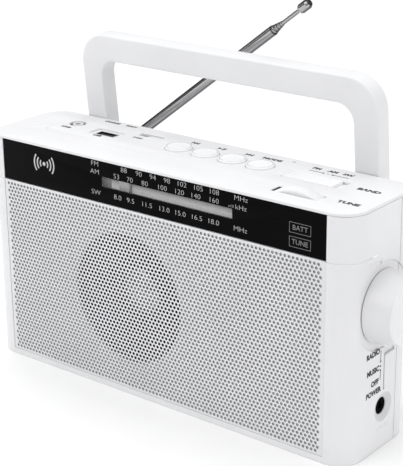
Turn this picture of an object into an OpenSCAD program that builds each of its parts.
// Portable tabletop radio, millimetres.
// X runs to the right, Y to the back, Z up. The origin is the middle of the footprint on the table.

/* [Case] */
// Width of the case
body_w = 249; // [248:0.5:250]
// Height of the case
body_h = 134.7; // [134.7:0.1:135.2]
// Depth of the top face
top_d = 61; // [61:0.25:61.5]
// Depth of the case with the hump at the back
total_d = 86; // [86:0.5:88]
// Radius of the upright corners
corner_r = 14; // [12:0.5:14]
// Thickness of the moulded walls
wall = 2.2; // [2:0.1:2.3]

/* [Front] */
// Width of the dial window and of the grille
panel_w = 220; // [218:0.5:220]
// Height of the joint between grille and dial window
dial_z = 109.4; // [109:0.1:109.6]
// Radius of the opening in front of the speaker
speaker_r = 37.3; // [36:0.1:38]

/* [Controls] */
// Radius of the volume knob
knob_r = 19.2; // [17:0.2:20]
// How far the volume knob stands out
knob_len = 15; // [12:0.5:18]
// Radius of the tuning wheel
wheel_r = 30; // [29.8:0.1:30.2]
// Radius of a push button
button_r = 7.6; // [6:0.2:8]
// Distance from one push button to the next
button_pitch = 18.3; // [18:0.1:18.5]

/* [Handle] */
// Inner width between the handle's legs
grip_w = 171.6; // [170:0.2:172]
// Width of a handle leg
leg_w = 14.8; // [13:0.2:15]
// Forward lean of the handle
handle_lean = 5.5; // [5.5:0.1:6]
// How far the handle pushes down
handle_travel = 42; // [38:1:42]

/* [Antenna] */
// Angle of the raised antenna above the table
antenna_angle = 37.2; // [30:0.1:50]
// Length of the main tube from its hinge
antenna_len = 133.5; // [130:0.5:135]

/* [Hidden] */
$fn = 48;
front_y = -total_d / 2;
rear_y = total_d / 2;
shelf_y = front_y + top_d;
seam_y = front_y + 44.5;
side_x = body_w / 2;
plate_t = 1.5;
plate_z = body_h - plate_t;
joint_gap = 0.15;
seam_gap = 0.35;
// Overlap of pieces that are joined into one
lap = 0.1;
front_wall = 2.8;
grille_recess = 0.8;

// Hump at the back, which holds the cells and guides the handle
hump_w = 208;
hump_z = 119.5;
hump_r = 8;
ledge_y = front_y + 76;
ledge_z = 111.7;

// Tuning wheel, its drum and the dial cord
wheel_x = 84;
wheel_z = body_h + 2.8 - wheel_r;
wheel_y0 = front_y + 11.6;
wheel_y1 = wheel_y0 + 7;
drum_r = 22.28;
cord_t = 0.8;
cord_y = front_y + 8.5;
cord_z = wheel_z + drum_r;
pulley_r = 10;
pulley_x = -46;
pulley_z = cord_z - pulley_r;

// Dial
pointer_x = -16.5;
strip_x0 = -34.3;
strip_x1 = 53.2;
frame_y0 = front_y + 4;
frame_y1 = frame_y0 + 1.6;
frame_top = 128;

// Boards
board_t = 1.6;
control_board_z = 119;
control_top = control_board_z + board_t;
main_board_y = front_y + 35;
side_board_x = side_x - 17.5;

// Top features
button_y = front_y + 40;
button_x0 = -13.6;
aux_pos = [-92.5, front_y + 44];
usb_pos = [-65.6, front_y + 39.2];
card_pos = [-40.8, front_y + 50];
band_x0 = 59.3;
band_x1 = 94.9;
band_y = front_y + 38.7;
band_d = 11.4;

// Right side features
knob_y = front_y + 29.7;
knob_z = 80.3;
// How much narrower the knob is at its face
knob_taper = 1.9;
power_y = front_y + 37.6;
power_z = 45.4;
power_h = 25.2;
power_cap = 19;
power_travel = 4.6;
power_rest_z = power_z - power_h / 2 + 0.4 + power_cap / 2;
jack_y = front_y + 33.4;
jack_z = 23;

// Speaker
speaker_x = -19.3;
speaker_z = 57.7;
speaker_y = front_y + front_wall;
// Depth of the centre of the dust cap's sphere
cap_bulge = 25.2;

// Battery bay
cell_r = 16.6;
cell_len = 61;
cell_y = front_y + 66.5;
cell_z = 34.5;
bay_w = 133;
bay_h = 35.6;
door_w = 132;
door_z0 = 16.2;
door_z1 = 55;
door_t = 2.2;

// Handle
handle_t = 11.2;
handle_y = front_y + 66.9;
grip_z0 = 36.3;
grip_h = 15;
leg_bottom = -46;
guide_top = -16.4;
guide_bottom = -22.3;
pocket_bottom = leg_bottom - handle_travel - 2;

// Antenna
antenna_x = -86;
antenna_y = front_y + 80.5;
antenna_z = 116.2;
// Outer and inner radius of each tube, thickest first
tube_r = [[2.9, 2.56], [2.5, 2.2], [2.14, 1.86], [1.8, 1.54], [1.48, 1.2]];
collar_step = 1.9;
rod_r = 1.15;
cap_r = 2.8;

screw_spots = [[-115, 9.5], [115, 9.5], [-115, 118], [115, 118]];

// Rounded plan outline from y0 to y1, with its own corner radius at the front and at the back
module plan(w, y0, y1, rf, rb) intersection() {
    union() {
        translate([-w / 2, y0 + rf]) square([w, y1 - y0 - rf - rb]);
        if (rf > 0) translate([-w / 2 + rf, y0]) square([w - 2 * rf, rf + lap]);
        if (rb > 0) translate([-w / 2 + rb, y1 - rb - lap]) square([w - 2 * rb, rb + lap]);
        for (s = [-1, 1]) {
            if (rf > 0) translate([s * (w / 2 - rf), y0 + rf]) circle(rf);
            if (rb > 0) translate([s * (w / 2 - rb), y1 - rb]) circle(rb);
        }
    }
    translate([-w / 2, y0]) square([w, y1 - y0]);
}

// Box given by its low and high corners
module span(lo, hi) translate(lo) cube(hi - lo);

// Cylinder along X or Y between two coordinates
module rod_x(r, x0, x1, y, z) translate([x0, y, z]) rotate([0, 90, 0]) cylinder(h = x1 - x0, r = r);
module rod_y(r, x, y0, y1, z) translate([x, y0, z]) rotate([-90, 0, 0]) cylinder(h = y1 - y0, r = r);

// Slim slot with round ends, along X, as a cutting tool from z0 to z1
module slot_tool(len, wid, z0, z1) translate([0, 0, z0]) linear_extrude(z1 - z0) {
    square([len - wid, wid], center = true);
    for (s = [-1, 1]) translate([s * (len - wid) / 2, 0]) circle(wid / 2);
}

module side_recesses() {
    rod_x(knob_r + 4.3, side_x - 0.8, side_x + 1, knob_y, knob_z);
    translate([side_x - 1.6, jack_y, jack_z]) rotate([0, 90, 0]) cylinder(h = 2.6, r1 = 4.9, r2 = 10.3);
}

module front_housing() color("white") difference() {
    union() {
        difference() {
            linear_extrude(plate_z - joint_gap) plan(body_w, front_y, seam_y, corner_r, 0);
            translate([0, 0, wall]) linear_extrude(body_h)
                plan(body_w - 2 * wall, front_y + front_wall, seam_y + 1, corner_r - wall, 0);
        }
        // Screw posts along the side walls
        for (p = screw_spots)
            translate([0, 0, p[1]]) {
                rod_y(4, p[0], seam_y - 18, seam_y, 0);
                span([p[0] > 0 ? p[0] : -side_x + 1, seam_y - 18, -1],
                    [p[0] > 0 ? side_x - 1 : p[0], seam_y, 1]);
            }
        // Ring that centres the speaker
        difference() {
            rod_y(speaker_r + 4, speaker_x, speaker_y - 0.5, speaker_y + 3, speaker_z);
            rod_y(speaker_r + 1.5, speaker_x, speaker_y - 1, speaker_y + 4, speaker_z);
        }
    }
    // Shallow seat of the grille and the round opening behind it
    span([-panel_w / 2, front_y - 1, 3.5], [panel_w / 2, front_y + grille_recess, dial_z + 0.1]);
    rod_y(speaker_r, speaker_x, front_y - 1, speaker_y + 1, speaker_z);
    // Seat of the dial window and the opening for the dial
    span([-panel_w / 2, front_y - 1, dial_z], [panel_w / 2, front_y + 1.8, body_h]);
    span([-panel_w / 2 + 5, front_y - 1, dial_z + 2.6], [panel_w / 2 - 5, front_y + 5, plate_z - 3]);
    // Fine groove round the corners, level with the foot of the dial
    difference() {
        span([-side_x - 1, front_y - 1, dial_z - 0.6], [side_x + 1, front_y + 19, dial_z]);
        translate([0, 0, dial_z - 1]) linear_extrude(2)
            plan(body_w - 1, front_y + 0.5, seam_y, corner_r - 0.5, 0);
    }
    side_recesses();
    rod_x(4.2, side_x - 4, side_x + 1, knob_y, knob_z);
    rod_x(4.7, side_x - 4, side_x + 1, jack_y, jack_z);
    // Seat and slot of the power slider
    span([side_x - 1, power_y - 4.9, power_z - power_h / 2],
        [side_x + 1, power_y + 4.9, power_z + power_h / 2]);
    span([side_x - 4, power_y - 2.1, power_rest_z - 3],
        [side_x + 1, power_y + 2.1, power_rest_z + power_travel + 3]);
    for (p = screw_spots) rod_y(1.35, p[0], seam_y - 12, seam_y + 1, p[1]);
}

module top_panel() color("white") difference() {
    translate([0, 0, plate_z]) linear_extrude(plate_t) plan(body_w, front_y, shelf_y, corner_r, corner_r);
    for (i = [0:3]) translate([button_x0 + i * button_pitch, button_y, plate_z - 1])
        cylinder(h = 4, r = button_r + 0.4);
    rod_y(wheel_r + 0.6, wheel_x, wheel_y0 - 0.5, wheel_y1 + 0.6, wheel_z);
    span([band_x0, band_y - band_d / 2, plate_z - 1], [band_x1, band_y + band_d / 2, body_h + 1]);
    translate([aux_pos[0], aux_pos[1], plate_z - 1]) cylinder(h = 4, r = 4.9);
    // Opening round the USB port
    translate([usb_pos[0], usb_pos[1], plate_z - 1]) linear_extrude(4) square([19.8, 10.4], center = true);
    // Card slot with a finger notch
    translate([card_pos[0], card_pos[1], 0]) slot_tool(16.7, 2.4, plate_z - 1, body_h + 1);
    translate([card_pos[0], card_pos[1] - 1, body_h - 0.7]) cylinder(h = 2, r = 4.5);
    // Microphone hole and charge lamp
    translate([-100.2, front_y + 26.6, plate_z - 1]) cylinder(h = 4, r = 0.8);
    translate([51.6, front_y + 56.6, plate_z - 1]) cylinder(h = 4, r = 1.1);
}

// Leans the handle's own frame: origin on the legs' middle plane, level with the case's top
module handle_frame() translate([0, handle_y, body_h]) rotate([handle_lean, 0, 0]) children();

module guide_pocket(grow, z0, z1) handle_frame() for (s = [-1, 1])
    translate([s * (grip_w / 2 + leg_w / 2) - (leg_w + 2) / 2 - s * 1 - grow, -handle_t / 2 - grow, z0])
        cube([leg_w + 2 + 2 * grow, handle_t + 2 * grow, z1 - z0]);

module back_cover() color("white") difference() {
    union() {
        difference() {
            union() {
                linear_extrude(plate_z - joint_gap) plan(body_w, seam_y + seam_gap, shelf_y, 0, corner_r);
                linear_extrude(hump_z) plan(hump_w, shelf_y - corner_r, rear_y, 0, hump_r);
            }
            translate([0, 0, wall]) linear_extrude(body_h)
                plan(body_w - 2 * wall, seam_y - 1, shelf_y - wall, 0, corner_r - wall);
            translate([0, 0, wall]) linear_extrude(hump_z - 2 * wall)
                plan(hump_w - 2 * wall, shelf_y - corner_r, rear_y - wall, 0, hump_r - wall);
        }
        // Pockets for the handle's legs
        intersection() {
            guide_pocket(2, pocket_bottom - 1.6, 10);
            span([-hump_w / 2, shelf_y - wall, 0], [hump_w / 2, rear_y, hump_z]);
        }
        // Battery bay
        span([-bay_w / 2 - 1.6, cell_y - 19.4, cell_z - bay_h / 2 - 1.6],
            [bay_w / 2 + 1.6, rear_y - 0.5, door_z1 + 2]);
        // Stepped seat of the antenna along the hump's upper rear edge
        span([-hump_w / 2, ledge_y - 1.6, ledge_z - wall], [hump_w / 2, rear_y - hump_r, hump_z]);
        span([-hump_w / 2 + hump_r, ledge_y - 1.6, ledge_z - wall], [hump_w / 2 - hump_r, rear_y, hump_z]);
        // Block that carries the antenna's stud
        translate([0, 0, ledge_z - 1]) linear_extrude(antenna_z + 4.6 - ledge_z + 1) intersection() {
            plan(hump_w, shelf_y - corner_r, rear_y, 0, hump_r);
            translate([-hump_w / 2, ledge_y]) square([antenna_x - 9 + hump_w / 2, total_d]);
        }
        for (p = screw_spots) rod_y(4, p[0], seam_y + seam_gap, shelf_y - 1, p[1]);
    }
    // Open step for the stowed antenna
    span([antenna_x - 9, ledge_y, ledge_z], [side_x, rear_y + 1, hump_z + 1]);
    rod_x(3.55, antenna_x - 15, antenna_x, antenna_y, antenna_z);
    guide_pocket(0.3, pocket_bottom, guide_bottom);
    handle_frame() for (s = [-1, 1]) translate([s * (grip_w / 2 + leg_w / 2), 0, guide_bottom - 1])
        linear_extrude(9) square([leg_w + 4, handle_t + 2.4], center = true);
    // Inside and mouth of the battery bay
    span([-bay_w / 2, cell_y - 17.8, cell_z - bay_h / 2],
        [bay_w / 2, rear_y - door_t - 0.3, cell_z + bay_h / 2]);
    span([-door_w / 2 - 0.4, rear_y - door_t - 0.4, door_z0 - door_t / 2 - 0.4],
        [door_w / 2 + 0.4, rear_y + 1, door_z1 + 0.4]);
    for (s = [-1, 1]) rod_x(0.86, s > 0 ? door_w / 2 : -door_w / 2 - 2.6,
        s > 0 ? door_w / 2 + 2.6 : -door_w / 2, rear_y - door_t / 2, door_z0);
    side_recesses();
    for (p = screw_spots) {
        rod_y(1.7, p[0], seam_y - 1, shelf_y + 1, p[1]);
        rod_y(3.2, p[0], shelf_y - 6, shelf_y + 1, p[1]);
    }
}

module battery_door() color("white") {
    difference() {
        union() {
            span([-door_w / 2, rear_y - door_t, door_z0], [door_w / 2, rear_y, door_z1]);
            rod_x(door_t / 2, -door_w / 2, door_w / 2, rear_y - door_t / 2, door_z0);
        }
        // Thumb notch at the latch
        rod_y(9, 0, rear_y - 0.8, rear_y + 1, door_z1 + 4);
    }
    rod_x(0.8, -door_w / 2 - 2.4, door_w / 2 + 2.4, rear_y - door_t / 2, door_z0);
}

module case_screws() color("dimgray") for (p = screw_spots) difference() {
    union() {
        rod_y(2.8, p[0], shelf_y - 6, shelf_y - 3.8, p[1]);
        rod_y(1.3, p[0], seam_y - 8, shelf_y - 5, p[1]);
    }
    span([p[0] - 2, shelf_y - 4.8, p[1] - 0.35], [p[0] + 2, shelf_y - 3, p[1] + 0.35]);
    span([p[0] - 0.35, shelf_y - 4.8, p[1] - 2], [p[0] + 0.35, shelf_y - 3, p[1] + 2]);
}

module speaker_grille() color("silver")
    span([-panel_w / 2 + joint_gap, front_y + 0.2, 3.5 + joint_gap],
        [panel_w / 2 - joint_gap, front_y + grille_recess, dial_z - joint_gap]);

module dial_window() color("black")
    span([-panel_w / 2 + joint_gap, front_y + 0.3, dial_z + joint_gap],
        [panel_w / 2 - joint_gap, front_y + 1.8, plate_z - joint_gap]);

module dial_scale() color("silver")
    span([strip_x0 - 4, frame_y0 - 0.6, 117.5], [strip_x1 + 3, frame_y0, 126]);

module dial_frame() color("gainsboro") {
    difference() {
        span([-62, frame_y0, 107], [58, frame_y1, frame_top]);
        span([-30, frame_y0 - 1, 109.5], [48, frame_y1 + 1, 115]);
    }
    for (x = [-58, 54]) rod_y(2.2, x, speaker_y, frame_y0 + 0.5, 109.5);
    // Post of the cord pulley
    rod_y(1.5, pulley_x, frame_y1 - 0.2, cord_y + 2.6, pulley_z);
}

module dial_pointer() color("red") translate([pointer_x, 0, 0]) {
    span([-0.6, frame_y0 - 1.8, 118.2], [0.6, frame_y0 - 1.2, frame_top + 1]);
    span([-5, frame_y0 - 1.8, frame_top + 0.3], [5, cord_y + 1.2, frame_top + 1]);
    difference() {
        span([-3, cord_y - 1.4, frame_top + 0.3], [3, cord_y + 1.2, cord_z + 1.5]);
        span([-4, cord_y - 0.75, cord_z - 0.75], [4, cord_y + 0.75, cord_z + 0.75]);
    }
}

// Outline of a belt round the drum and the pulley, grown by d
module belt(d) {
    a = atan2(pulley_z - wheel_z, pulley_x - wheel_x);
    dist = norm([pulley_x - wheel_x, pulley_z - wheel_z]);
    b = acos((drum_r - pulley_r) / dist);
    translate([wheel_x, wheel_z]) circle(drum_r + d);
    translate([pulley_x, pulley_z]) circle(pulley_r + d);
    polygon([for (t = [[wheel_x, wheel_z, drum_r + d, a + b], [wheel_x, wheel_z, drum_r + d, a - b],
        [pulley_x, pulley_z, pulley_r + d, a - b], [pulley_x, pulley_z, pulley_r + d, a + b]])
        [t[0] + t[2] * cos(t[3]), t[1] + t[2] * sin(t[3])]]);
}

module dial_cord() color("ivory") translate([0, cord_y + cord_t / 2, 0]) rotate([90, 0, 0])
    linear_extrude(cord_t) difference() {
        belt(cord_t / 2);
        belt(-cord_t / 2);
    }

// Grooved disc for the cord, along Y
module cord_wheel(r, x, z, depth) {
    rod_y(r - cord_t / 2 - 0.2, x, cord_y - depth, cord_y + depth, z);
    for (s = [-1, 1]) translate([0, s * (depth - 0.3), 0])
        rod_y(r + 1.3, x, cord_y - 0.3, cord_y + 0.3, z);
}

module cord_pulley() color("white") difference() {
    cord_wheel(pulley_r, pulley_x, pulley_z, 1.6);
    rod_y(1.56, pulley_x, cord_y - 3, cord_y + 3, pulley_z);
}

module indicator_lamps() color("darkred") for (z = [112.6, 120.3])
    span([88.4, front_y + 2, z], [101.2, front_y + 4.4, z + 5.3]);

module tuning_wheel() color("white") difference() {
    union() {
        rod_y(wheel_r, wheel_x, wheel_y0, wheel_y1, wheel_z);
        rod_y(drum_r - cord_t / 2 - 0.2, wheel_x, cord_y - 2.1, wheel_y0 + 1, wheel_z);
        for (y = [cord_y - 2.1, cord_y + 1.5])
            rod_y(drum_r + 1.3, wheel_x, y, y + 0.6, wheel_z);
    }
    rod_y(3.02, wheel_x, cord_y - 3, wheel_y1 + 1, wheel_z);
    rod_y(4.8, wheel_x, cord_y - 3, cord_y, wheel_z);
    // Lightening pockets in the rear face
    for (a = [0:60:300])
        rod_y(5, wheel_x + 17 * cos(a), wheel_y1 - 3, wheel_y1 + 1, wheel_z + 17 * sin(a));
}

module tuning_screw() color("dimgray") difference() {
    union() {
        rod_y(2.6, wheel_x, cord_y - 1.9, cord_y - 0.1, wheel_z);
        rod_y(1.2, wheel_x, cord_y - 1, wheel_y0 + 4, wheel_z);
    }
    span([wheel_x - 3, cord_y - 3, wheel_z - 0.4], [wheel_x + 3, cord_y - 1.2, wheel_z + 0.4]);
}

module tuning_shaft() color("gold") difference() {
    rod_y(3, wheel_x, cord_y, wheel_y1 + 11, wheel_z);
    rod_y(1.25, wheel_x, cord_y - 1, wheel_y0 + 5, wheel_z);
}

module tuning_capacitor() color("whitesmoke") difference() {
    union() {
        span([wheel_x - 10, wheel_y1 + 3, wheel_z - 10], [wheel_x + 10, main_board_y, wheel_z + 10]);
        rod_y(4.5, wheel_x, wheel_y1 + 1.2, wheel_y1 + 4, wheel_z);
    }
    rod_y(3.06, wheel_x, wheel_y1 - 1, wheel_y1 + 11.4, wheel_z);
}

module speaker_frame() color("dimgray") translate([speaker_x, speaker_y, speaker_z]) rotate([-90, 0, 0])
    difference() {
        union() {
            cylinder(h = 1.2, r = 38.5);
            translate([0, 0, 1.2]) cylinder(h = 16, r1 = 36.5, r2 = 22);
        }
        translate([0, 0, -1]) cylinder(h = 2.3, r = 35);
        translate([0, 0, 1.2]) cylinder(h = 14.8, r1 = 35, r2 = 21);
        translate([0, 0, 10]) cylinder(h = 10, r = 12.5);
        for (a = [45:90:315]) rotate(a) translate([26, 0, 4]) rotate([0, -30, 0])
            translate([0, -6, -2]) cube([12, 12, 9]);
    }

module speaker_magnet() color("black")
    translate([speaker_x, speaker_y + 17.3, speaker_z]) rotate([-90, 0, 0]) difference() {
        union() {
            cylinder(h = 2, r = 21);
            translate([0, 0, 2]) cylinder(h = 7.5, r = 22.5);
            translate([0, 0, 9.5]) cylinder(h = 2, r = 21);
            translate([0, 0, -3]) cylinder(h = 6, r = 8);
        }
        translate([0, 0, 10]) cylinder(h = 2, r = 3);
    }

module speaker_cone() color("black") translate([speaker_x, speaker_y + 0.3, speaker_z]) rotate([-90, 0, 0])
    rotate_extrude($fn = 96) polygon([[11, 10], [11.4, 9.4], [28, 1.6], [33.8, 1.0],
        [33.8, 1.6], [28.4, 2.2], [12, 10.2], [12, 13.4], [11, 13.4]]);

// Shallow dome over the middle of the cone
module speaker_dust_cap() color("silver")
    translate([speaker_x, speaker_y + 0.3, speaker_z]) rotate([-90, 0, 0]) intersection() {
        translate([0, 0, cap_bulge]) difference() {
            sphere(r = 22, $fn = 96);
            sphere(r = 21.5, $fn = 96);
        }
        translate([0, 0, 2]) cylinder(h = 5.9, r = 13.6);
    }

module volume_knob() color("white") difference() {
    union() {
        translate([side_x - 0.4, knob_y, knob_z]) rotate([0, 90, 0])
            cylinder(h = knob_len - 1.1, r1 = knob_r, r2 = knob_r - knob_taper);
        translate([side_x + knob_len - 1.5, knob_y, knob_z]) rotate([0, 90, 0])
            cylinder(h = 1.5, r1 = knob_r - knob_taper, r2 = knob_r - knob_taper - 1.5);
    }
    rod_x(3.02, side_x - 1, side_x + knob_len - 4, knob_y, knob_z);
    // Hollow behind the face
    difference() {
        rod_x(knob_r - 4, side_x - 1, side_x + knob_len - 4, knob_y, knob_z);
        rod_x(5.5, side_x - 2, side_x + knob_len, knob_y, knob_z);
    }
}

module volume_shaft() color("silver") rod_x(3, side_board_x + 4, side_x + knob_len - 4.4, knob_y, knob_z);

module volume_pot() color("silver") difference() {
    union() {
        rod_x(8.5, side_board_x + board_t, side_board_x + 10, knob_y, knob_z);
        rod_x(4, side_board_x + 9, side_x - wall - 0.3, knob_y, knob_z);
    }
    rod_x(3.06, side_board_x + 3.6, side_x, knob_y, knob_z);
}

module band_slider() color("white") {
    span([band_x0 + 0.4, band_y - band_d / 2 + 0.3, 131.4],
        [band_x1 - 4.3, band_y + band_d / 2 - 0.3, body_h + 0.2]);
    span([band_x0 - 3, band_y - band_d / 2 - 1.5, 131.4],
        [band_x1 - 1, band_y + band_d / 2 + 1.5, plate_z - 0.3]);
    // Finger that drives the switch
    span([73.5, band_y - 1.2, control_top + 3], [76.5, band_y + 1.2, 131.5]);
}

module band_switch() color("silver") difference() {
    span([64, band_y - 3.5, control_top], [90, band_y + 3.5, control_top + 5.2]);
    span([73, band_y - 1.7, control_top + 2.6], [81, band_y + 1.7, control_top + 6]);
}

module power_slider() color("white") translate([side_x, power_y, power_rest_z]) {
    span([-0.8, -4.6, -power_cap / 2], [0.6, 4.6, power_cap / 2]);
    span([-7, -1.7, -2.5], [-0.7, 1.7, 2.5]);
}

module power_switch() color("silver") difference() {
    span([side_board_x + board_t, power_y - 4, power_rest_z - 7],
        [side_x - 4.4, power_y + 4, power_rest_z + power_travel + 7]);
    span([side_x - 7.6, power_y - 2.1, power_rest_z - 3],
        [side_x, power_y + 2.1, power_rest_z + power_travel + 3]);
}

module push_button(i) color("white") translate([button_x0 + i * button_pitch, button_y, 0]) {
    translate([0, 0, 130.5]) cylinder(h = body_h + 0.6 - 130.5, r = button_r);
    translate([0, 0, body_h + 0.6]) cylinder(h = 0.6, r1 = button_r, r2 = button_r - 0.6);
    translate([0, 0, 130.5]) cylinder(h = 1.8, r = button_r + 1);
    translate([0, 0, 125.1]) cylinder(h = 6, r = 2);
}

module tact_switches() color("dimgray") for (i = [0:3])
    translate([button_x0 + i * button_pitch, button_y, control_top]) {
        translate([-3, -3, 0]) cube([6, 6, 3.2]);
        translate([0, 0, 3]) cylinder(h = 0.6, r = 1.7);
    }

module aux_jack() color("whitesmoke") translate([aux_pos[0], aux_pos[1], 0]) difference() {
    union() {
        span([-5, -6, control_top], [5, 6, plate_z - 0.3]);
        translate([0, 0, plate_z - 1]) cylinder(h = 2.2, r = 3.2);
    }
    translate([0, 0, control_top + 0.8]) cylinder(h = 20, r = 1.8);
}

module usb_port() color("silver") translate([usb_pos[0], usb_pos[1], 0]) {
    difference() {
        span([-6.6, -2.9, control_top], [6.6, 2.9, body_h - 0.9]);
        span([-6.2, -2.5, control_top + 1.2], [6.2, 2.5, body_h]);
    }
    span([-5.8, -0.2, control_top + 1], [5.8, 1.7, body_h - 1.6]);
}

module card_socket() color("silver") translate([card_pos[0], card_pos[1], 0]) difference() {
    span([-7.5, -1.6, control_top], [7.5, 1.6, plate_z - 0.3]);
    span([-5.8, -0.6, control_top + 1], [5.8, 0.6, body_h]);
}

module earphone_jack() color("black") difference() {
    union() {
        span([side_board_x + board_t, jack_y - 5, jack_z - 5],
            [side_x - wall - 0.3, jack_y + 5, jack_z + 5]);
        rod_x(4.4, side_x - wall - 1, side_x - 1.9, jack_y, jack_z);
    }
    rod_x(1.8, side_board_x + board_t + 1, side_x + 1, jack_y, jack_z);
}

module main_board() color("green") span([38, main_board_y, 12], [104, main_board_y + board_t, 116]);

module control_board() color("green") difference() {
    span([-104, front_y + 31, control_board_z], [100, front_y + 57, control_top]);
    translate([51.6, front_y + 56.6, control_board_z - 1]) cylinder(h = 4, r = 1.1);
}

module side_board() color("green")
    span([side_board_x, front_y + 21, 14], [side_board_x + board_t, front_y + 43, 93]);

module ferrite_rod() color("dimgray") rod_x(5, -102, 18, front_y + 31, 104);

module ferrite_coil() color("chocolate") difference() {
    rod_x(6.2, -60, -32, front_y + 31, 104);
    rod_x(5, -61, -31, front_y + 31, 104);
}

module battery_cells() color("goldenrod") for (i = [0, 1]) {
    x1 = bay_w / 2 - 3.6 - i * (cell_len + 0.05);
    rod_x(cell_r, x1 - cell_len, x1 - 1.6, cell_y, cell_z);
    rod_x(4.5, x1 - 1.7, x1, cell_y, cell_z);
}

module battery_contacts() color("silver") {
    span([bay_w / 2 - 1, cell_y - 9, cell_z - 9], [bay_w / 2 - 0.4, cell_y + 9, cell_z + 9]);
    rod_x(6, bay_w / 2 - 3.4, bay_w / 2 - 0.6, cell_y, cell_z);
    span([-bay_w / 2 + 0.4, cell_y - 9, cell_z - 9], [-bay_w / 2 + 1, cell_y + 9, cell_z + 9]);
    for (i = [0:2]) rod_x(7.5 - 1.5 * i, -bay_w / 2 + 0.6, -bay_w / 2 + 2.6 + 2.2 * i, cell_y, cell_z);
}

// Bar of the handle: outer corners of radius ro, inner corners of radius ri, in the X-Z plane
module handle_outline(ro, ri) {
    half = grip_w / 2 + leg_w;
    top = grip_z0 + grip_h;
    difference() {
        union() {
            translate([-half, leg_bottom]) square([2 * half, top - ro - leg_bottom]);
            translate([-half + ro, leg_bottom]) square([2 * (half - ro), top - leg_bottom]);
            for (s = [-1, 1]) translate([s * (half - ro), top - ro]) circle(ro, $fn = 96);
        }
        translate([-grip_w / 2, leg_bottom - 1]) square([grip_w, grip_z0 - ri - leg_bottom + 1]);
        translate([-grip_w / 2 + ri, leg_bottom - 1]) square([grip_w - 2 * ri, grip_z0 - leg_bottom + 1]);
        for (s = [-1, 1]) translate([s * (grip_w / 2 - ri), grip_z0 - ri]) circle(ri, $fn = 96);
    }
}

module handle() color("white") handle_frame() {
    translate([0, handle_t / 2, 0]) rotate([90, 0, 0]) linear_extrude(handle_t) handle_outline(18, 10);
    // Shoulders that stop against the guides when the handle is up
    for (s = [-1, 1]) translate([s * (grip_w / 2 + 1) - 3, -handle_t / 2, leg_bottom])
        cube([6, handle_t, guide_bottom - leg_bottom - 0.1]);
}

module handle_guides() color("gainsboro") handle_frame() for (s = [-1, 1])
    translate([s * (grip_w / 2 + leg_w / 2), 0, guide_bottom])
        linear_extrude(guide_top - guide_bottom) difference() {
        square([leg_w + 3.9, handle_t + 2.3], center = true);
        square([leg_w + 0.4, handle_t + 0.4], center = true);
    }

// Frame of the antenna: origin at its hinge, X along the raised tubes
module antenna_frame()
    translate([antenna_x, antenna_y, antenna_z]) rotate([0, -antenna_angle, 0]) children();

module antenna_knuckle() color("silver") translate([antenna_x, antenna_y, antenna_z]) difference() {
    union() {
        rod_x(3.5, -15, -6, 0, 0);
        rod_x(3.9, -8.8, -4.2, 0, 0);
        for (s = [-1, 1]) {
            rod_y(3, 0, s > 0 ? 1.6 : -2.9, s > 0 ? 2.9 : -1.6, 0);
            span([-4.6, s > 0 ? 1.6 : -2.9, -2.4], [0, s > 0 ? 2.9 : -1.6, 2.4]);
        }
    }
    rod_y(1.25, 0, -5, 5, 0);
}

module antenna_pin() color("gray") translate([antenna_x, antenna_y, antenna_z]) {
    rod_y(1.2, 0, -3, 3, 0);
    for (s = [-1, 1]) rod_y(1.9, 0, s > 0 ? 2.9 : -3.5, s > 0 ? 3.5 : -2.9, 0);
}

// One antenna tube from x0 to x1, with its closing lip
module tube(n, x0, x1) color("silver") antenna_frame() difference() {
    rod_x(tube_r[n][0], x0, x1, 0, 0);
    rod_x(tube_r[n][1], x0 - 1, x1 + 1, 0, 0);
}

module antenna_tube_1() color("silver") {
    tube(0, 7, antenna_len);
    antenna_frame() difference() {
        union() {
            rod_y(2.9, 0, -1.45, 1.45, 0);
            span([0, -1.45, -2.2], [5, 1.45, 2.2]);
            rod_x(tube_r[0][0], 4.4, 9, 0, 0);
        }
        rod_y(1.26, 0, -3, 3, 0);
    }
}

module antenna_tube_n(n) tube(n, 10 + 2 * n, antenna_len + collar_step * n);

module antenna_rod() color("silver") antenna_frame() {
    rod_x(rod_r, 34, antenna_len + 22, 0, 0);
    rod_x(cap_r, antenna_len + 21.4, antenna_len + 28.4, 0, 0);
    translate([antenna_len + 28.4, 0, 0]) rotate([0, 90, 0])
        cylinder(h = 0.8, r1 = cap_r, r2 = cap_r - 0.8);
}

front_housing();
top_panel();
back_cover();
battery_door();
case_screws();
speaker_grille();
dial_window();
dial_scale();
dial_frame();
dial_pointer();
dial_cord();
cord_pulley();
indicator_lamps();
tuning_wheel();
tuning_screw();
tuning_shaft();
tuning_capacitor();
speaker_frame();
speaker_magnet();
speaker_cone();
speaker_dust_cap();
volume_knob();
volume_shaft();
volume_pot();
band_slider();
band_switch();
power_slider();
power_switch();
push_button(0);  // previous_button
push_button(1);  // play_button
push_button(2);  // next_button
push_button(3);  // mode_button
tact_switches();
aux_jack();
usb_port();
card_socket();
earphone_jack();
main_board();
control_board();
side_board();
ferrite_rod();
ferrite_coil();
battery_cells();
battery_contacts();
handle();
handle_guides();
antenna_knuckle();
antenna_pin();
antenna_tube_1();
antenna_tube_n(1);  // antenna_tube_2
antenna_tube_n(2);  // antenna_tube_3
antenna_tube_n(3);  // antenna_tube_4
antenna_tube_n(4);  // antenna_tube_5
antenna_rod();
